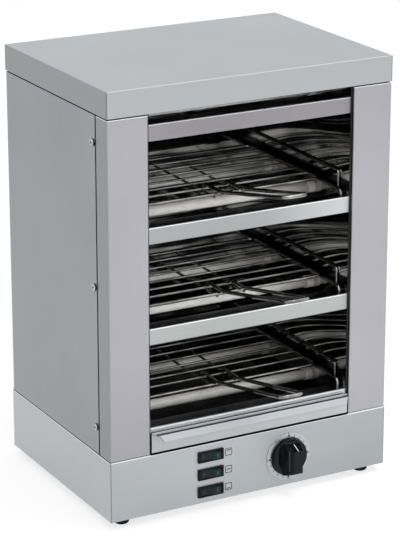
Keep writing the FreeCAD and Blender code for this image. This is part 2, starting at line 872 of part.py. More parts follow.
def cord_gland():
    """A cable gland through the rear of the base, and its lock nut inside."""
    outward = Vector(0, 1, 0)
    head = hexagon(0, gland_hex_radius, gland_hex_length)
    dome = Part.makeCone(gland_dome_radius, gland_dome_tip_radius, gland_dome_length,
                         gland_point(gland_hex_length), outward)
    thread = pin(gland_point(-gland_thread_length), gland_point(sheet), gland_thread_radius)
    inside = gland_point(-gland_thread_length)
    outside = gland_point(gland_hex_length + gland_dome_length)
    gland = joined([head, dome, thread]).cut(pin(inside, outside, gland_bore_radius))
    nut = hexagon(-sheet - gland_nut_length, gland_hex_radius, gland_nut_length)
    nut = nut.cut(pin(inside, outside, gland_thread_radius + shaft_running_clearance))
    return Part.makeCompound([gland, nut])


def terminal_block():
    poles = []
    front = back_y - terminal_block_from_rear
    low = base_bottom + sheet
    high = low + terminal_block_height
    block_width = terminal_block_poles * terminal_pole_width
    body = block(terminal_block_x - block_width / 2, terminal_block_x + block_width / 2,
                 front, front + terminal_block_depth, low, high)
    for index in range(terminal_block_poles):
        x = terminal_block_x + (index - (terminal_block_poles - 1) / 2) * terminal_pole_width
        middle = (low + high) / 2
        poles.append(pin(Vector(x, front, middle), Vector(x, front + terminal_block_depth, middle),
                         terminal_screw_radius))
        for y in (front + terminal_screw_inset, front + terminal_block_depth - terminal_screw_inset):
            poles.append(pin(Vector(x, y, middle), Vector(x, y, high), terminal_screw_radius))
    return body.cut(poles)


nodes = {
    "feet": feet(),
    "base_shell": base_shell(),
    "bottom_plate": bottom_plate(),
    "base_deck": base_deck(),
    "top_reflector": top_reflector(),
    "top_cover": top_cover(),
    "front_pillar_right": front_pillar_right(),
    "side_panel_right": side_panel_right(),
    "back_panel": back_panel(),
    "liner_right": liner_right(),
    "liner_back": liner_back(),
    "front_sill": crossbar(bar_tops["sill"], sill_height, 0),
    "crossbar_lower": crossbar(bar_tops["lower"], bar_height, bar_bottom_flange),
    "crossbar_upper": crossbar(bar_tops["upper"], bar_height, bar_bottom_flange),
    "crossbar_top": crossbar(bar_tops["top"], bar_height, bar_bottom_flange),
    "crumb_tray": crumb_tray(),
    "dial_plate": dial_plate(),
    "timer_body": timer_body(),
    "timer_shaft": timer_shaft(),
    "timer_knob": timer_knob(),
    "case_screws": case_screws(),
    "cord_gland": cord_gland(),
    "terminal_block": terminal_block(),
}

for piece in ("front_pillar", "side_panel", "liner"):
    nodes[piece + "_left"] = mirrored(nodes[piece + "_right"])

tube_levels = {"sill": "bottom", "lower": "lower", "upper": "upper", "top": "top"}
for bar, pair in tube_places().items():
    level = tube_levels[bar]
    for row, (y, z) in pair.items():
        nodes["quartz_tube_" + level + "_" + row] = quartz_tube(y, z)
    places = list(pair.values())
    nodes["heating_coils_" + level] = Part.makeCompound([heating_coil(y, z) for y, z in places])
    caps = [end_cap(y, z, side) for y, z in places for side in (-1, 1)]
    nodes["end_caps_" + level] = Part.makeCompound(caps)

for deck in rack_floor:
    nodes["rack_" + deck] = rack(deck)
    nodes["rack_handle_" + deck] = rack_handle(deck)
    nodes["rack_guide_" + deck + "_right"] = rack_guide_right(deck)
    nodes["rack_guide_" + deck + "_left"] = mirrored(nodes["rack_guide_" + deck + "_right"])

for place, height in switch_heights().items():
    nodes["switch_body_" + place] = switch_body(height)
    nodes["rocker_" + place] = rocker(height)

for node, shape in nodes.items():
    save(node, shape)
print("nodes", len(nodes))
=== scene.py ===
import math

import bmesh
import bpy
import numpy as np
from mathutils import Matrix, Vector


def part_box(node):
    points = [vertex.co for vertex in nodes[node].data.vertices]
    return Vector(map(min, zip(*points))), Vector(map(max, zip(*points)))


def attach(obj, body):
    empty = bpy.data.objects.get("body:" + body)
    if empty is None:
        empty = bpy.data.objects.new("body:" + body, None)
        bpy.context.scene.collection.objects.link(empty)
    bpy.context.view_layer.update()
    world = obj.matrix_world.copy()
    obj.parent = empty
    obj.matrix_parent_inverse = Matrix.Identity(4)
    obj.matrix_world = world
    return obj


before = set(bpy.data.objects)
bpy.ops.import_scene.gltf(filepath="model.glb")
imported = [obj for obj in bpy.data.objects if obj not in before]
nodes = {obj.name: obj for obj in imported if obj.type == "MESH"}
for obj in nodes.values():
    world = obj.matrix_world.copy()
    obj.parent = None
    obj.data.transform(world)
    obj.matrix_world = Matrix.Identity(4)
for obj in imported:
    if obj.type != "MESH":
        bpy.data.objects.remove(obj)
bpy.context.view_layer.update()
print("frame loaded with", len(nodes), "nodes")

mm = 0.001  # everything below is written in millimetres times this


def linearColour(hexCode):
    # sRGB hex to the linear values that shader sockets take
    channels = [int(hexCode[start:start + 2], 16) / 255 for start in (1, 3, 5)]
    return [c / 12.92 if c <= 0.04045 else ((c + 0.055) / 1.055) ** 2.4 for c in channels] + [1.0]


def addNode(tree, kind, inputs, **settings):
    # one node: settings are its properties, inputs are values or the sockets that feed it
    node = tree.nodes.new(kind)
    for name, value in settings.items():
        setattr(node, name, value)
    for socket, value in inputs.items():
        if isinstance(value, bpy.types.NodeSocket):
            tree.links.new(value, node.inputs[socket])
        else:
            node.inputs[socket].default_value = value
    return node


def makeFinish(name, recipe):
    # a material from its recipe: noises with their cells in millimetres drive its tone, roughness and relief
    material = bpy.data.materials.new(name)
    material.use_nodes = True
    tree = material.node_tree
    tree.nodes.clear()
    surface = addNode(tree, "ShaderNodeBsdfPrincipled", recipe.get("shader", {}))
    addNode(tree, "ShaderNodeOutputMaterial", {"Surface": surface.outputs[0]})
    place = addNode(tree, "ShaderNodeTexCoord", {}).outputs["Object"]
    patterns = []
    for cells in (recipe["cellsMm"], recipe.get("toneCellsMm", recipe["cellsMm"])):
        scaled = addNode(tree, "ShaderNodeMapping", {"Vector": place, "Scale": [1 / (cell * mm) for cell in cells]})
        patterns.append(addNode(tree, "ShaderNodeTexNoise", {
            "Vector": scaled.outputs[0], "Scale": 1.0, "Detail": recipe.get("detail", 3.0)}).outputs[0])
    grain, shade = patterns
    ramp = addNode(tree, "ShaderNodeValToRGB", {"Fac": shade})
    for stop, position, hexCode in zip(ramp.color_ramp.elements, recipe.get("toneStops", (0.35, 0.65)),
                                       recipe["tones"]):
        stop.position = position
        stop.color = linearColour(hexCode)
    tree.links.new(ramp.outputs[0], surface.inputs["Base Color"])
    smooth, rough = recipe["roughness"]
    spread = addNode(tree, "ShaderNodeMapRange",
                     {"Value": grain, "From Min": 0.3, "From Max": 0.7, "To Min": smooth, "To Max": rough})
    tree.links.new(spread.outputs[0], surface.inputs["Roughness"])
    if "reliefMm" in recipe:
        relief = addNode(tree, "ShaderNodeBump", {"Height": grain, "Distance": recipe["reliefMm"] * mm,
                                                  "Strength": recipe.get("reliefStrength", 0.4)})
        tree.links.new(relief.outputs[0], surface.inputs["Normal"])
    return material, tree, surface, place


def toneWhere(made, zones, hexCode, roughness=None):
    # where the place lies past every zone's start the finish goes over to another tone: most such zones are painted
    # shade or painted highlights, a few are a burnt film or seams; a zone is an axis, or its distance from the
    # middle, with a start and an end
    material, tree, surface, place = made
    share = 1.0
    for axis, start, end in zones:
        along = addNode(tree, "ShaderNodeSeparateXYZ", {"Vector": place}).outputs[axis.strip("|")]
        if axis.startswith("|"):
            along = addNode(tree, "ShaderNodeMath", {0: along}, operation="ABSOLUTE").outputs[0]
        inside = addNode(tree, "ShaderNodeMapRange", {"Value": along, "From Min": start, "From Max": end})
        share = addNode(tree, "ShaderNodeMath", {0: inside.outputs[0], 1: share}, operation="MULTIPLY").outputs[0]
    for socket, value, kind in (("Base Color", linearColour(hexCode), "RGBA"), ("Roughness", roughness, "FLOAT")):
        if value is not None:
            before = surface.inputs[socket].links[0].from_socket
            mixed = addNode(tree, "ShaderNodeMix", {"Factor": share, "A": before, "B": value}, data_type=kind)
            tree.links.new(mixed.outputs["Result"], surface.inputs[socket])
    return made


def satinSteel(name, tones, cellsMm=(140, 140, 1.6)):
    # ground stainless sheet with a fine satin belt finish: soft even sheen, grain only just seen up close
    return makeFinish(name, {"shader": {"Metallic": 1.0}, "tones": tones, "cellsMm": cellsMm,
                             "toneCellsMm": (160, 160, 160), "roughness": (0.44, 0.48), "reliefMm": 0.01,
                             "reliefStrength": 0.05})


def zone(axis, edge, offsetsMm):
    # a zone for toneWhere, given by two offsets in millimetres from an edge of the piece
    return axis, edge + offsetsMm[0] * mm, edge + offsetsMm[1] * mm


dialLow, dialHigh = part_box("dial_plate")
dialCentre = (dialLow + dialHigh) / 2
shellLow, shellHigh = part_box("base_shell")
frontY = shellLow.y
sideFaceMm = (179.3, 179.6)  # the cabinet's sides stand 180 mm from its middle
uprightGrain = (1.6, 1.6, 140)


def mirrorLining(name, tones, bandsMm=(60, 60, 60)):
    # bright annealed stainless lining: mirror finish over sheet that isn't quite flat
    return makeFinish(name, {
        "shader": {"Metallic": 1.0}, "tones": tones, "toneCellsMm": bandsMm, "toneStops": (0.42, 0.66),
        "cellsMm": (90, 90, 60), "detail": 1.0, "roughness": (0.03, 0.06), "reliefMm": 0.5})


sideLiningFinish = {
    "tones": ("#999997", "#cccbc8"), "bowMm": 0.8,
    "guideShadeTone": "#1a1919", "guideShadeRoughness": 0.2, "guideShadeFromMm": (-2, 0), "guideShadeToMm": (8, 6),
    "gapShadeTone": "#2b2b2a", "gapShadeRoughness": 0.3, "gapShadeMm": (1.0, 0.9),
}


def sideLining():
    # the side sheets bow out a little between the bars, which bends what they mirror into arcs: the bow is the
    # cosine of the height, one turn from bar to bar
    p = sideLiningFinish
    made = mirrorLining("mirrorSideLining", p["tones"])
    material, tree, surface, place = made
    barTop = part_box("crossbar_top")[1].z
    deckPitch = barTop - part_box("crossbar_upper")[1].z
    up = addNode(tree, "ShaderNodeSeparateXYZ", {"Vector": place}).outputs["Z"]
    turns = addNode(tree, "ShaderNodeMath", {0: up, 1: barTop - deckPitch / 2}, operation="SUBTRACT").outputs[0]
    turns = addNode(tree, "ShaderNodeMath", {0: turns, 1: 2 * math.pi / deckPitch}, operation="MULTIPLY").outputs[0]
    bow = addNode(tree, "ShaderNodeMath", {0: turns}, operation="COSINE").outputs[0]
    relief = addNode(tree, "ShaderNodeBump", {"Height": bow, "Distance": p["bowMm"] * mm, "Strength": 1.0,
                                              "Normal": surface.inputs["Normal"].links[0].from_socket})
    tree.links.new(relief.outputs[0], surface.inputs["Normal"])
    for deck in ("top", "middle", "bottom"):
        low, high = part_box("rack_" + deck)  # the sheet behind the guides is painted dark, a painted shade of the guides and their reflections
        toneWhere(made, [zone("Z", low.z, p["guideShadeFromMm"]), zone("Z", high.z, p["guideShadeToMm"])],
                  p["guideShadeTone"], p["guideShadeRoughness"])
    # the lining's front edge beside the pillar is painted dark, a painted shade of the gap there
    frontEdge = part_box("liner_right")[0].y
    return toneWhere(made, [zone("Y", frontEdge, p["gapShadeMm"])], p["gapShadeTone"], p["gapShadeRoughness"])


barFinish = {
    "topEdgeMm": (-1.1, -0.5), "topEdgeHighlightTone": "#dddfe1", "lowEdgeMm": (1.1, 0.5), "lowEdgeHighlightTone": "#b9babd",
    "paintedShadeMm": (1.5, 3), "paintedShadeTone": "#3b3a3a", "paintedShadeRoughness": 0.2,
    "rearEdgeMm": (-1.6, -1.0), "rearEdgeHighlightTone": "#a9aaab", "rightPaintedLightMm": (20, 120),
}


def barSteel(name, node, tones, rightPaintedLightTone=None):
    # a folded bar: its front top edge, rear top edge and bottom edge are painted highlights, and its top behind the
    # front edge is painted dark, a painted shade of the oven it would mirror
    p = barFinish
    low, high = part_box(node)
    made = satinSteel(name, tones)
    # a lighter right end, where given, is a painted reflection
    if rightPaintedLightTone:
        toneWhere(made, [zone("X", 0, p["rightPaintedLightMm"])], rightPaintedLightTone)
    toneWhere(made, [zone("Z", high.z, p["topEdgeMm"])], p["topEdgeHighlightTone"])
    toneWhere(made, [zone("Z", low.z, p["lowEdgeMm"])], p["lowEdgeHighlightTone"])
    toneWhere(made, [zone("Y", low.y, p["paintedShadeMm"])], p["paintedShadeTone"], p["paintedShadeRoughness"])
    return toneWhere(made, [zone("Y", high.y, p["rearEdgeMm"])], p["rearEdgeHighlightTone"])


sillFinish = {
    "tones": ("#c2c4c8", "#c7c9cd"), "paintedBeadShadeMm": (3.0, 2.8), "paintedBeadShadeTone": "#a3a5a8",
    "paintedBeadHighlightMm": (2.3, 2.1), "paintedBeadHighlightTone": "#f2f3f5", "topTone": "#96989c",
}


def sillSteel():
    # the sill is drawn lighter than the bars as painted light, with its top edge darker; a bead that is not modelled
    # is painted as a thin dark line of painted shade over a bright band of painted highlight
    p = sillFinish
    low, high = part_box("front_sill")
    made = barSteel("satinSillSteel", "front_sill", p["tones"])
    toneWhere(made, [zone("Z", low.z, p["paintedBeadShadeMm"])], p["paintedBeadShadeTone"])
    toneWhere(made, [zone("Z", low.z, p["paintedBeadHighlightMm"])], p["paintedBeadHighlightTone"])
    return toneWhere(made, [zone("Z", high.z, barFinish["topEdgeMm"])], p["topTone"])


cornerSeam = {"besideMm": (-1.0, -0.8), "behindFrontMm": (0.9, 0.7)}


def cornerSeams(made, halfWidth, hexCode):
    # the front corners are butted and ground: a fine dark line down each
    return toneWhere(made, [zone("|X|", halfWidth, cornerSeam["besideMm"]),
                            zone("Y", frontY, cornerSeam["behindFrontMm"])], hexCode)


coverFinish = {
    "tones": ("#939699", "#989b9e"), "frontPaintedLightTone": "#a3a6a9", "frontMm": (0.6, 0.4),
    "paintedLightSideTone": "#979a9b", "sideMm": (-0.7, -0.4), "seamTone": "#6e7274",
}


def coverSteel():
    # the cover is ground all over; its front face is drawn lighter than its top, and its sides in their own tone, as
    # painted light
    p = coverFinish
    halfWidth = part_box("top_cover")[1].x
    made = satinSteel("satinCoverSteel", p["tones"])
    toneWhere(made, [zone("Y", frontY, p["frontMm"])], p["frontPaintedLightTone"])
    toneWhere(made, [zone("|X|", halfWidth, p["sideMm"])], p["paintedLightSideTone"])
    return cornerSeams(made, halfWidth, p["seamTone"])


baseFinish = {
    "tones": ("#a8acaf", "#adb1b4"), "paintedShadeRightMm": (-60, 150), "rightPaintedLightTone": "#9ca0a3", "paintedLightSideTone": "#b7bbbe",
    "topEdgeMm": (-1.8, -1.2), "topEdgeHighlightTone": "#d9dbdd", "paintedShadeTone": "#0f1011",
    "underTrayMm": (-0.9, -0.7), "underTrayHalfWidthMm": (129.6, 129.4),
    "hemMm": (-0.5, -0.3), "hemBehindMm": (0.7, 0.9), "seamTone": "#7c8083",
}


def baseSteel():
    # the base is drawn lighter than the cover as painted light and darker to its right as painted shade; its side
    # walls are lighter, a painted reflection of the floor, its top edge is a painted highlight, and its top under
    # the tray and its hem are painted shade
    p = baseFinish
    made = satinSteel("satinBaseSteel", p["tones"])
    toneWhere(made, [zone("X", 0, p["paintedShadeRightMm"])], p["rightPaintedLightTone"])
    toneWhere(made, [zone("|X|", 0, sideFaceMm)], p["paintedLightSideTone"])
    toneWhere(made, [zone("Z", shellHigh.z, p["topEdgeMm"])], p["topEdgeHighlightTone"])
    toneWhere(made, [zone("Z", shellHigh.z, p["underTrayMm"]), zone("|X|", 0, p["underTrayHalfWidthMm"])],
              p["paintedShadeTone"])
    toneWhere(made, [zone("Z", shellHigh.z, p["hemMm"]), zone("Y", frontY, p["hemBehindMm"])], p["paintedShadeTone"])
    return cornerSeams(made, shellHigh.x, p["seamTone"])


trayFinish = {
    "tones": ("#a8aaab", "#adafb0"), "lipTopMm": (-0.4, -0.2), "lipTopHighlightTone": "#eceef0",
    "bendShadeFromMm": (-5.2, -5.5), "bendShadeToMm": (-8.7, -8.5), "bendShadeTone": "#3a3b40",
    "bevelMm": (-8.7, -8.9), "bevelTone": "#97999b",
    "burntMm": (1.5, 4), "burntTone": "#1d1a18", "burntRoughness": 0.2,
}


def traySteel():
    # satin sheet whose face and lip stay clean while the pan behind them is burnt brown-black by crumbs and fat; the
    # lip's top is a painted highlight, a band on its flat where the brake bent it is painted shade, and its bevel is
    # drawn darker
    p = trayFinish
    made = satinSteel("satinTraySteel", p["tones"])
    toneWhere(made, [zone("Z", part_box("crumb_tray")[1].z, p["lipTopMm"])], p["lipTopHighlightTone"])
    toneWhere(made, [zone("Y", frontY, p["bendShadeFromMm"]), zone("Y", frontY, p["bendShadeToMm"])],
              p["bendShadeTone"])
    toneWhere(made, [zone("Y", frontY, p["bevelMm"])], p["bevelTone"])
    return toneWhere(made, [zone("Y", frontY, p["burntMm"])], p["burntTone"], p["burntRoughness"])


pillarFinish = {
    "tones": ("#9a9a9f", "#9f9fa4"), "returnMm": (130.8, 130.4), "returnTone": "#8b8a87", "returnRoughness": 0.08,
    "paintedLightSideTone": "#929596", "topEdgeMm": (-1.1, -0.6), "topEdgeHighlightTone": "#d9dadd",
    "seamShadeStripMm": (26.1, 26.3), "seamShadeStripTone": "#161718",
}


def pillarSteel():
    # folded pillar: bright inside the opening; its side face is drawn darker as painted shade, its top edge is a
    # painted highlight, and the strip behind the side seam is painted shade
    p = pillarFinish
    made = satinSteel("satinPillarSteel", p["tones"], uprightGrain)
    toneWhere(made, [zone("|X|", 0, p["returnMm"])], p["returnTone"], p["returnRoughness"])
    toneWhere(made, [zone("|X|", 0, sideFaceMm)], p["paintedLightSideTone"])
    toneWhere(made, [zone("Z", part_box("front_pillar_right")[1].z, p["topEdgeMm"])], p["topEdgeHighlightTone"])
    return toneWhere(made, [zone("Y", frontY, p["seamShadeStripMm"])], p["seamShadeStripTone"])


panelFinish = {"tones": ("#96999c", "#9b9ea1"), "gapShadeMm": (1.0, 0.6), "gapShadeTone": "#26282a"}


def sidePanelSteel():
    # folded panel; its edge that faces the pillar is painted dark, a painted shade of the seam gap
    p = panelFinish
    made = satinSteel("satinPanelSteel", p["tones"], uprightGrain)
    return toneWhere(made, [zone("Y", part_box("side_panel_left")[0].y, p["gapShadeMm"])], p["gapShadeTone"])


quartzFinish = {"greyedTone": "#83817f", "rightPaintedLightMm": (40, 125), "leftEndMm": (-105, -128)}


def milkyQuartz():
    # opaque white quartz glass: milky body under a smooth fused skin, greyed over its right part as painted shade
    # and greyed at its left end
    p = quartzFinish
    made = makeFinish("milkyQuartz", {
        "shader": {"IOR": 1.46, "Coat Weight": 0.35, "Coat Roughness": 0.08, "Coat IOR": 1.46},
        "tones": ("#dddcda", "#efeeec"), "cellsMm": (14, 2.5, 2.5), "detail": 4.0, "roughness": (0.22, 0.34)})
    for end in ("rightPaintedLightMm", "leftEndMm"):
        toneWhere(made, [zone("X", 0, p[end])], p["greyedTone"])
    return made


rockerFinish = {"lampEndMm": (-10, -6), "lampTone": "#152d28"}


def smokyRocker():
    # smoky translucent rocker over a neon lamp: near black, greener towards the lamp end
    p = rockerFinish
    made = makeFinish("smokyGreenPlastic", {
        "shader": {"IOR": 1.45, "Specular IOR Level": 0.22}, "tones": ("#111616", "#181e1e"), "cellsMm": (2, 2, 2),
        "roughness": (0.24, 0.32), "reliefMm": 0.01})
    return toneWhere(made, [zone("X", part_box("rocker_top")[1].x, p["lampEndMm"])], p["lampTone"])


dialFinish = {"ringMm": 0.9, "reliefMm": 0.01}


def spunAluminium():
    # spun and clear anodised aluminium dial: fine rings, a noise of the distance from its centre
    p = dialFinish
    material, tree, surface, place = makeFinish("spunAluminium", {
        "shader": {"Metallic": 1.0}, "tones": ("#a9acae", "#adb0b2"), "cellsMm": (12, 12, 12),
        "roughness": (0.24, 0.3)})
    about = addNode(tree, "ShaderNodeVectorMath", {0: place, 1: dialCentre}, operation="SUBTRACT").outputs[0]
    radius = addNode(tree, "ShaderNodeVectorMath", {0: about}, operation="LENGTH").outputs["Value"]
    rings = addNode(tree, "ShaderNodeTexNoise", {"W": radius, "Scale": 1 / (p["ringMm"] * mm), "Detail": 2.0},
                    noise_dimensions="1D").outputs[0]
    relief = addNode(tree, "ShaderNodeBump", {"Height": rings, "Distance": p["reliefMm"] * mm, "Strength": 0.3})
    tree.links.new(relief.outputs[0], surface.inputs["Normal"])
    return material


metal = {"Metallic": 1.0}
recipes = {
    # drawn and electropolished stainless wire, its tone darkened as painted shade of the dark oven round it, with a
    # smoky film near the heat
    "shadedRackWire": {"shader": metal, "tones": ("#646362", "#9a9997"), "cellsMm": (25, 25, 25),
                       "roughness": (0.1, 0.18), "reliefMm": 0.01, "reliefStrength": 0.2},
    # cold rolled sheet smoked by the oven above it
    "smokedSteel": {"shader": metal, "tones": ("#1c1b1b", "#262524"), "cellsMm": (20, 20, 20),
                    "roughness": (0.3, 0.4)},
    # oxidised heating alloy: brown-grey scale
    "heatingWire": {"shader": metal, "tones": ("#5a554f", "#77716a"), "cellsMm": (4, 4, 4), "roughness": (0.4, 0.5)},
    # mill-finished sheet inside and underneath
    "millSteel": {"shader": metal, "tones": ("#95979a", "#a3a5a8"), "cellsMm": (90, 3, 3),
                  "roughness": (0.34, 0.46), "reliefMm": 0.01},
    # zinc plated steel: bluish bright plating with faint spangle
    "zincPlatedSteel": {"shader": metal, "tones": ("#a4a7a9", "#bec1c3"), "cellsMm": (6, 6, 6),
                        "detail": 2.0, "roughness": (0.24, 0.4)},
    # steatite end caps: off-white fired clay, dull
    "steatiteCeramic": {"shader": {"IOR": 1.5}, "tones": ("#a9a7a6", "#c4c2c0"), "cellsMm": (1.6, 1.6, 1.6),
                        "roughness": (0.45, 0.62), "reliefMm": 0.03, "reliefStrength": 0.5},
    # phenolic knob moulded in a polished tool: deep black gloss
    "glossBlackPhenolic": {"shader": {"IOR": 1.5, "Specular IOR Level": 0.2}, "tones": ("#020304", "#05080a"),
                           "cellsMm": (9, 9, 9), "roughness": (0.05, 0.09), "reliefMm": 0.02},
    # glass-filled nylon: black with the fine spark texture of its mould
    "blackNylon": {"shader": {"IOR": 1.5, "Specular IOR Level": 0.14}, "tones": ("#030505", "#090c0b"),
                   "cellsMm": (1.2, 1.2, 1.2), "roughness": (0.26, 0.36), "reliefMm": 0.02},
    "whiteNylon": {"shader": {"IOR": 1.5}, "tones": ("#d5d3cc", "#e5e3dd"), "cellsMm": (4, 4, 4),
                   "roughness": (0.35, 0.5), "reliefMm": 0.02},
    # moulded EPDM foot: matt black with a dusty bloom
    "blackRubber": {"shader": {"IOR": 1.5, "Specular IOR Level": 0.2}, "tones": ("#060607", "#0e0e0f"),
                    "cellsMm": (5, 5, 5), "roughness": (0.55, 0.75), "reliefMm": 0.05},
    # screen printed inks, a few hundredths of a millimetre thick
    "darkInk": {"shader": {"IOR": 1.48}, "tones": ("#17191a", "#222426"), "cellsMm": (0.7, 0.7, 0.7),
                "roughness": (0.45, 0.55)},
    "whiteInk": {"shader": {"IOR": 1.48}, "tones": ("#c6c8c8", "#d6d8d8"), "cellsMm": (0.7, 0.7, 0.7),
                 "roughness": (0.4, 0.5)},
    "greyInk": {"shader": {"IOR": 1.48}, "tones": ("#25282a", "#323537"), "cellsMm": (0.7, 0.7, 0.7),
                "roughness": (0.45, 0.55)},
    # pale grey for the painted reflection lines on the knob's flanks
    "paleGreyHighlightInk": {"shader": {"IOR": 1.48}, "tones": ("#63686b", "#70757a"), "cellsMm": (0.7, 0.7, 0.7),
                    "roughness": (0.4, 0.5)},
    "paleGreenInk": {"shader": {"IOR": 1.48}, "tones": ("#4a625b", "#58706a"), "cellsMm": (0.7, 0.7, 0.7),
                     "roughness": (0.4, 0.5)},
}
stockFinishes = {name: makeFinish(name, recipe)[0] for name, recipe in recipes.items()}

screwFinish = {"slotAndRimShadeTone": "#1b1d1e", "belowHeadMm": (-0.6, -0.9), "sideScrewsMm": (-20, -21),
               "backScrewsMm": (-21, -20)}


def screwSteel():
    # zinc plated pan heads, painted dark in the slot and round the rim as painted shade: the side heads face out,
    # the back ones backwards
    p = screwFinish
    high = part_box("case_screws")[1]
    made = makeFinish("zincPlatedScrew", recipes["zincPlatedSteel"])
    for axis, edge, kind in (("|X|", high.x, "sideScrewsMm"), ("Y", high.y, "backScrewsMm")):
        toneWhere(made, [zone(axis, edge, p["belowHeadMm"]), zone("Y", high.y, p[kind])], p["slotAndRimShadeTone"])
    return made


finishes = {
    "base_shell": baseSteel()[0], "top_cover": coverSteel()[0],
    "base_deck": stockFinishes["smokedSteel"], "crumb_tray": traySteel()[0],
    # the three bars are one sheet drawn in different tones as painted light: the top bar darker, the lower bar
    # lighter, the upper bar lighter at its right end
    "crossbar_top": barSteel("satinTopBarSteel", "crossbar_top", ("#868489", "#8c8a8f"))[0],
    "crossbar_upper": barSteel("satinUpperBarSteel", "crossbar_upper", ("#96989a", "#9b9c9e"), "#b3b7b8")[0],
    "crossbar_lower": barSteel("satinLowerBarSteel", "crossbar_lower", ("#9fa3a2", "#a4a8a7"))[0],
    "front_sill": sillSteel()[0], "front_pillar": pillarSteel()[0], "side_panel": sidePanelSteel()[0],
    "back_panel": satinSteel("satinBackSteel", panelFinish["tones"], uprightGrain)[0],
    "bottom_plate": stockFinishes["millSteel"],
    # the roof and back linings are the side lining's sheet drawn darker, a painted shade of the dark oven they
    # mirror; the pale bands on the back lining are streaks of the rolled sheet drawn strong enough to serve as
    # painted reflections of the rack wires
    "top_reflector": mirrorLining("mirrorRoofLining", ("#131315", "#4b4a4d"), (260, 7, 7))[0],
    "liner_back": mirrorLining("mirrorBackLining", ("#131315", "#878786"), (120, 200, 7))[0],
    "liner": sideLining()[0],
    "rack": stockFinishes["shadedRackWire"], "case_screws": screwSteel()[0],
    "timer_body": stockFinishes["zincPlatedSteel"], "timer_shaft": stockFinishes["zincPlatedSteel"],
    "quartz_tube": milkyQuartz()[0], "end_caps": stockFinishes["steatiteCeramic"],
    "heating_coils": stockFinishes["heatingWire"], "dial_plate": spunAluminium(),
    "timer_knob": stockFinishes["glossBlackPhenolic"], "switch_body": stockFinishes["blackNylon"],
    "rocker": smokyRocker()[0], "cord_gland": stockFinishes["blackNylon"],
    "terminal_block": stockFinishes["whiteNylon"], "feet": stockFinishes["blackRubber"],
}
for name, node in nodes.items():
    finish = next(finishes[key] for key in sorted(finishes, key=len, reverse=True) if name.startswith(key))
    for materialSlot in node.material_slots:
        materialSlot.material = finish
    if not node.material_slots:
        node.data.materials.append(finish)
print("finishes given to", len(nodes), "nodes")


def gridPiece(name, points, body, material, wrapRows=False):
    # points is rows x columns x 3; columns close on themselves, and rows too if wrapRows
    rows, columns = points.shape[:2]
    index = np.arange(rows * columns).reshape(rows, columns)
    if wrapRows:
        index = np.vstack([index, index[:1]])
    corners = (index[:-1], np.roll(index, -1, 1)[:-1], np.roll(index, -1, 1)[1:], index[1:])
    faces = np.stack(corners, -1).reshape(-1, 4)
    mesh = bpy.data.meshes.new(name)
    mesh.from_pydata(points.reshape(-1, 3).tolist(), [], faces.tolist())
    tidy = bmesh.new()
    tidy.from_mesh(mesh)
    bmesh.ops.remove_doubles(tidy, verts=tidy.verts, dist=1e-7)
    bmesh.ops.recalc_face_normals(tidy, faces=tidy.faces)
    tidy.to_mesh(mesh)
    tidy.free()
    return finishedPiece(name, mesh, body, material)


def finishedPiece(name, mesh, body, material):
    piece = bpy.data.objects.new(name, mesh)
    bpy.context.scene.collection.objects.link(piece)
    mesh.materials.clear()
    mesh.materials.append(material)
    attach(piece, body)
    return piece


def roundedRectangle(width, height, radius, steps=8):
    # quarter circles at the four corners, joined by straight sides: corner centre plus radius times (cos, sin)
    angles = np.linspace(0, 2 * np.pi, 4 * steps, endpoint=False) + np.pi / (4 * steps)
    side = np.stack([np.sign(np.cos(angles)), np.sign(np.sin(angles))], -1)
    centres = side * (np.array([width, height]) / 2 - radius)
    return centres + radius * np.stack([np.cos(angles), np.sin(angles)], -1)


def ellipse(radius, height, steps=24):
    # radius times cos across, half the height times sin up
    angles = np.linspace(0, 2 * np.pi, steps, endpoint=False)
    return np.stack([radius * np.cos(angles), height / 2 * np.sin(angles)], -1)


def layerPoints(layers, seat):
    # each layer is an outline and its height above the seat: origin + across u + up v + out height
    origin, across, up = [np.array(v) for v in seat]
    out = np.cross(up, across) * -1
    return np.stack([origin + flat[:, :1] * across + flat[:, 1:] * up + height * out for flat, height in layers])


def frontSeat(x, z, y=frontY):
    # a seat on an upright face that looks along -Y
    return (x, y, z), (1, 0, 0), (0, 0, 1)


def plate(name, outline, seat, heights, body, material):
    # a flat closed plate: centre point, outline behind, outline in front, centre point
    low, high = heights
    layers = [(outline * 0, low), (outline, low), (outline, high), (outline * 0, high)]
    return gridPiece(name, layerPoints(layers, seat), body, material)


def ring(name, outer, inner, seat, heights, body, material):
    # a flat closed frame: outer and inner outline behind, then inner and outer in front
    low, high = heights
    layers = [(outer, low), (inner, low), (inner, high), (outer, high)]
    return gridPiece(name, layerPoints(layers, seat), body, material, wrapRows=True)


def joinPieces(name, pieces):
    # several small marks become one piece
    with bpy.context.temp_override(active_object=pieces[0], selected_editable_objects=pieces):
        bpy.ops.object.join()
    pieces[0].name = name
    return pieces[0]


dialPrint = {
    "minutes": 15, "degreesPerMinute": 18, "dotRing": 24.9 * mm, "dotRadius": 0.75 * mm,
    "boldDotRadius": 1.2 * mm, "figureRing": 27.2 * mm, "figureHeight": 2.8 * mm, "ink": 0.06 * mm,
}


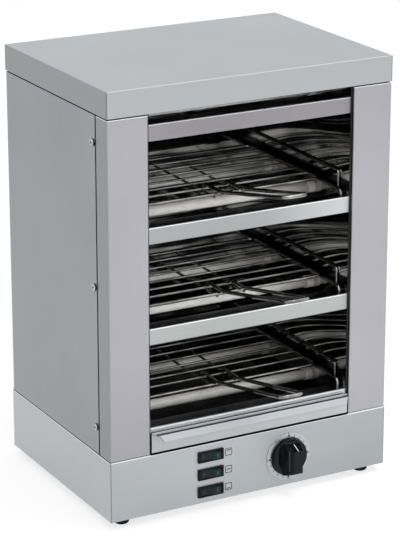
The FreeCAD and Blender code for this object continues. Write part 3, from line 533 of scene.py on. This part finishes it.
def makeDialPrint():
    p = dialPrint
    ink = stockFinishes["darkInk"]
    marks = []
    for minute in range(p["minutes"] + 1):
        turn = math.radians(minute * p["degreesPerMinute"])
        isFigure = minute % 5 == 0
        radius = p["boldDotRadius"] if isFigure else p["dotRadius"]
        spot = frontSeat(dialCentre.x + p["dotRing"] * math.sin(turn), dialCentre.z + p["dotRing"] * math.cos(turn),
                         dialLow.y)
        marks.append(plate(f"dialDot{minute}", ellipse(radius, 2 * radius, 16), spot, (-p["ink"], p["ink"]),
                           "cabinet", ink))
        if isFigure:
            spot = (dialCentre.x + p["figureRing"] * math.sin(turn), dialCentre.z + p["figureRing"] * math.cos(turn))
            marks.append(figureMark(str(minute), spot, ink))
    return joinPieces("dialPrint", marks)


def figureMark(words, spot, ink):
    # a figure in the plain default letter shape, extruded as an ink layer and centred on its spot
    curve = bpy.data.curves.new("figure" + words, "FONT")
    curve.body = words
    curve.size = dialPrint["figureHeight"] / 0.7  # a capital stands 0.7 of the size
    curve.extrude = dialPrint["ink"]
    holder = bpy.data.objects.new("figure" + words, curve)
    mesh = bpy.data.meshes.new_from_object(holder)
    points = np.empty(len(mesh.vertices) * 3, np.float32)
    mesh.vertices.foreach_get("co", points)
    x, z, depth = points.reshape(-1, 3).T
    x = x - (x.min() + x.max()) / 2 + spot[0]
    z = z - (z.min() + z.max()) / 2 + spot[1]
    placed = np.stack([x, dialLow.y - depth, z], -1)
    mesh.vertices.foreach_set("co", placed.astype(np.float32).ravel())
    mesh.update()
    bpy.data.objects.remove(holder)
    return finishedPiece("dialFigure" + words, mesh, "cabinet", ink)


makeDialPrint()

switchPrint = {
    "frameSize": 9.2 * mm, "frameRadius": 1.5 * mm, "line": 0.9 * mm, "fromBezel": 2.4 * mm,
    "barLength": 5.6 * mm, "barShift": 2.2 * mm, "ink": 0.06 * mm,
    "labelWidth": 13.4 * mm, "labelMargin": 2.6 * mm, "labelThickness": 0.12 * mm, "labelRadius": 1.5 * mm,
}


def makeSwitchPrint():
    p = switchPrint
    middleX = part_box("switch_body_top")[1].x + p["fromBezel"] + p["frameSize"] / 2
    boxes = [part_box("switch_body_" + place) for place in ("top", "middle", "bottom")]
    levels = [(low.z + high.z) / 2 for low, high in boxes]
    labelHeight = levels[0] - levels[2] + p["frameSize"] + 2 * p["labelMargin"]
    label = roundedRectangle(p["labelWidth"], labelHeight, p["labelRadius"])
    film = makeFinish("silverFilm", {"shader": metal, "tones": ("#a7abad", "#acb0b2"), "cellsMm": (3, 3, 3),
                                     "roughness": (0.34, 0.4)})[0]
    film = plate("switchLabel", label, frontSeat(middleX + p["line"], levels[1]),
                 (-p["labelThickness"], p["labelThickness"]), "cabinet", film)
    outer = roundedRectangle(p["frameSize"], p["frameSize"], p["frameRadius"])
    hollow = p["frameSize"] - 2 * p["line"]
    inner = roundedRectangle(hollow, hollow, p["frameRadius"] - p["line"] / 2)
    bar = roundedRectangle(p["barLength"], p["line"] * 1.3, p["line"] * 0.6)
    heights = (p["labelThickness"] / 2, p["labelThickness"] + p["ink"])
    marks = []
    for level, shift in zip(levels, (1, 0, -1)):
        marks.append(ring(f"deckFrame{shift}", outer, inner, frontSeat(middleX, level), heights,
                          "cabinet", stockFinishes["greyInk"]))
        marks.append(plate(f"deckBar{shift}", bar, frontSeat(middleX, level + shift * p["barShift"]), heights,
                           "cabinet", stockFinishes["greyInk"]))
    return joinPieces("switchPictograms", marks)


makeSwitchPrint()

knobMarks = {
    # the grip's sloped end, measured from the knob's back face and its axis
    "shoulderDepth": 9.5 * mm, "shoulderHeight": 19.2 * mm, "frontHeight": 13.6 * mm,
    "pointerShare": (0.1, 0.92), "pointerWidth": 1.0 * mm, "pointerProud": 0.12 * mm,
    "neckDepth": 13.4 * mm, "neckHalfWidth": 7.0 * mm, "lineLength": 25 * mm, "lineWidth": 0.8 * mm,
    "lineProud": 0.15 * mm,
}


def makeKnobMarks():
    p = knobMarks
    low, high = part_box("timer_knob")
    axis = (low + high) / 2
    shoulder = Vector((axis.x, high.y - p["shoulderDepth"], axis.z + p["shoulderHeight"]))
    front = Vector((axis.x, low.y, axis.z + p["frontHeight"]))
    along = (shoulder - front).normalized()
    start, end = [shoulder.lerp(front, share) for share in p["pointerShare"]]
    length = (end - start).length
    bar = roundedRectangle(p["pointerWidth"], length, p["pointerWidth"] / 2.1)
    plate("pointerLine", bar, ((start + end) / 2, (1, 0, 0), along), (-p["pointerProud"], p["pointerProud"]),
          "timer_dial_knob", stockFinishes["whiteInk"])
    # a pale line down each flank at its neck is a painted reflection, drawn as a thin raised strip
    line = roundedRectangle(p["lineWidth"], p["lineLength"], p["lineWidth"] / 2.1)
    for name, side in (("gripHighlightLineLeft", -1), ("gripHighlightLineRight", 1)):
        seat = ((axis.x + side * p["neckHalfWidth"], high.y - p["neckDepth"], axis.z), (0, side, 0), (0, 0, 1))
        plate(name, line, seat, (-p["lineProud"], p["lineProud"]), "timer_dial_knob",
              stockFinishes["paleGreyHighlightInk"])


makeKnobMarks()

rockerMarks = {
    # the rocker's front face, measured from its pivot: valley and tips stand this far out before it is turned
    "tilt": math.radians(9), "pivotBehind": 3.6 * mm, "valley": 5.2 * mm, "tip": 7.0 * mm, "reach": 12.6 * mm,
    "markAt": 8.6 * mm, "barWidth": 0.8 * mm, "barHeight": 3.4 * mm, "ringRadius": 1.5 * mm,
    "ringLine": 0.55 * mm, "proud": 0.08 * mm,
}


def makeRockerMarks():
    p = rockerMarks
    cosine, sine = math.cos(p["tilt"]), math.sin(p["tilt"])
    rise = (p["tip"] - p["valley"]) / p["reach"]
    bar = roundedRectangle(p["barWidth"], p["barHeight"], p["barWidth"] / 2.1)
    outer = ellipse(p["ringRadius"], 2 * p["ringRadius"])
    inner = outer * (1 - p["ringLine"] / p["ringRadius"])
    for place in ("top", "middle", "bottom"):
        low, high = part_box("rocker_" + place)
        level = (low.z + high.z) / 2
        body = "switch_rocker_" + place
        switchLow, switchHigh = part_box("switch_body_" + place)
        pivotX, pivotY = (switchLow.x + switchHigh.x) / 2, frontY + p["pivotBehind"]
        for side in (-1, 1):
            ahead = -(p["valley"] + rise * p["markAt"])
            x, y = side * p["markAt"], ahead
            spot = (pivotX + x * cosine + y * sine, pivotY - x * sine + y * cosine, level)
            across = Vector((1, -side * rise, 0)).normalized()
            across = (across.x * cosine + across.y * sine, -across.x * sine + across.y * cosine, 0)
            seat = (spot, across, (0, 0, 1))
            if side > 0:
                plate("onMark" + place, bar, seat, (-p["proud"], p["proud"]), body,
                      stockFinishes["paleGreenInk"])
            else:
                ring("offMark" + place, outer, inner, seat, (-p["proud"], p["proud"]), body,
                     stockFinishes["greyInk"])


makeRockerMarks()
print("printed marks made")

studio = {
    "worldColour": "#ffffff", "worldForLight": 0.5,
    "softBoxes": [
        # name, direction towards the light, how wide it looks in degrees, watts per square metre
        ("keyBox", (0.5, -0.8, 0.4), 120, 1.2),
        ("topBox", (0.2, 0.45, 0.87), 80, 0.8),
        ("fillBox", (-0.35, -0.9, 0.55), 70, 0.3),
        ("overheadBox", (-0.1, -0.4, 1.0), 90, 1.2),
    ],
    "boxDistance": 3.0,
    # a spot aimed down at the paper in front, for the glow that it throws back at the front
    "spotPlace": (0.5, -1.0, 2.2), "spotCone": 56, "spotPower": 300, "spotRadius": 0.3,
}


def seenDirectly(tree):
    # 1 for rays from the camera or from a reflection or refraction, 0 for light that falls on things
    path = addNode(tree, "ShaderNodeLightPath", {})
    either = addNode(tree, "ShaderNodeMath", {0: path.outputs["Is Camera Ray"], 1: path.outputs["Is Glossy Ray"]},
                     operation="MAXIMUM").outputs[0]
    return addNode(tree, "ShaderNodeMath", {0: either, 1: path.outputs["Is Transmission Ray"]},
                   operation="MAXIMUM").outputs[0]


def makeSky():
    p = studio
    world = bpy.data.worlds.new("paleStudio")
    bpy.context.scene.world = world
    world.use_nodes = True
    tree = world.node_tree
    tree.nodes.clear()
    strength = addNode(tree, "ShaderNodeMix", {"Factor": seenDirectly(tree), "A": p["worldForLight"], "B": 1.0})
    sky = addNode(tree, "ShaderNodeBackground",
                  {"Color": linearColour(p["worldColour"]), "Strength": strength.outputs[0]})
    addNode(tree, "ShaderNodeOutputWorld", {"Surface": sky.outputs[0]})


floorPaper = {
    "size": 60.0, "colour": "#f7f7f7", "forLight": "#c8c8c8",
    # how far the paper has run out to plain white: near the object and far off, and near it as the camera sees it
    "glow": (0.5, 1.0), "seenGlow": 0.75, "glowFrom": 0.8, "glowTo": 3.0,
}


def makeFloor():
    p = floorPaper
    half = p["size"] / 2
    mesh = bpy.data.meshes.new("studioFloor")
    mesh.from_pydata([(-half, -half, 0), (half, -half, 0), (half, half, 0), (-half, half, 0)], [], [(0, 1, 2, 3)])
    floor = bpy.data.objects.new("studioFloor", mesh)
    bpy.context.scene.collection.objects.link(floor)
    paper = bpy.data.materials.new("whitePaper")
    paper.use_nodes = True
    tree = paper.node_tree
    tree.nodes.clear()
    colour = addNode(tree, "ShaderNodeMix", {"Factor": seenDirectly(tree), "A": linearColour(p["forLight"]),
                                             "B": linearColour(p["colour"])}, data_type="RGBA")
    lit = addNode(tree, "ShaderNodeBsdfDiffuse", {"Color": colour.outputs["Result"]})
    white = addNode(tree, "ShaderNodeEmission", {"Strength": 1.0})
    place = addNode(tree, "ShaderNodeTexCoord", {}).outputs["Object"]
    away = addNode(tree, "ShaderNodeVectorMath", {0: place}, operation="LENGTH").outputs["Value"]
    near, far = p["glow"]
    camera = addNode(tree, "ShaderNodeLightPath", {}).outputs["Is Camera Ray"]
    near = addNode(tree, "ShaderNodeMath", {0: camera, 1: p["seenGlow"] - near, 2: near},
                   operation="MULTIPLY_ADD").outputs[0]
    glow = addNode(tree, "ShaderNodeMapRange", {"Value": away, "From Min": p["glowFrom"], "From Max": p["glowTo"],
                                                "To Min": near, "To Max": far}, interpolation_type="SMOOTHSTEP")
    share = addNode(tree, "ShaderNodeMath", {0: seenDirectly(tree), 1: glow.outputs[0]}, operation="MULTIPLY")
    both = addNode(tree, "ShaderNodeMixShader", {0: share.outputs[0], 1: lit.outputs[0], 2: white.outputs[0]})
    addNode(tree, "ShaderNodeOutputMaterial", {"Surface": both.outputs[0]})
    mesh.materials.append(paper)


def addLamp(name, kind, place, power):
    light = bpy.data.lights.new(name, kind)
    light.energy = power
    lamp = bpy.data.objects.new(name, light)
    lamp.location = place
    bpy.context.scene.collection.objects.link(lamp)
    return lamp


def makeLamps():
    p = studio
    for name, direction, width, power in p["softBoxes"]:
        lamp = addLamp(name, "SUN", Vector(direction) * p["boxDistance"], power)
        lamp.data.angle = math.radians(width)
        lamp.rotation_euler = (-Vector(direction)).to_track_quat("-Z", "Y").to_euler()
    spot = addLamp("paperSpot", "SPOT", p["spotPlace"], p["spotPower"]).data
    spot.spot_size = math.radians(p["spotCone"])
    spot.spot_blend = 1.0
    spot.shadow_soft_size = p["spotRadius"]


makeSky()
makeFloor()
makeLamps()
print("studio made")

photoView = {
    "azimuth": -28.735, "elevation": 17.049, "place": (-1.2626, -2.2658, 1.1147),
    "focalLength": 158.3, "shiftY": -0.1, "sensor": 36.0,
}


def makeCamera():
    p = photoView
    camera = bpy.data.cameras.new("photoCamera")
    camera.lens = p["focalLength"]
    camera.sensor_width = p["sensor"]
    camera.shift_y = p["shiftY"]
    camera.clip_end = 100.0
    holder = bpy.data.objects.new("photoCamera", camera)
    turn, tilt = math.radians(p["azimuth"]), math.radians(p["elevation"])
    back = Vector((math.sin(turn) * math.cos(tilt), -math.cos(turn) * math.cos(tilt), math.sin(tilt)))
    holder.location = p["place"]
    holder.rotation_euler = (-back).to_track_quat("-Z", "Y").to_euler()
    bpy.context.scene.collection.objects.link(holder)
    bpy.context.scene.camera = holder


makeCamera()
bpy.context.scene.view_settings.view_transform = "Standard"

print("all pieces made")
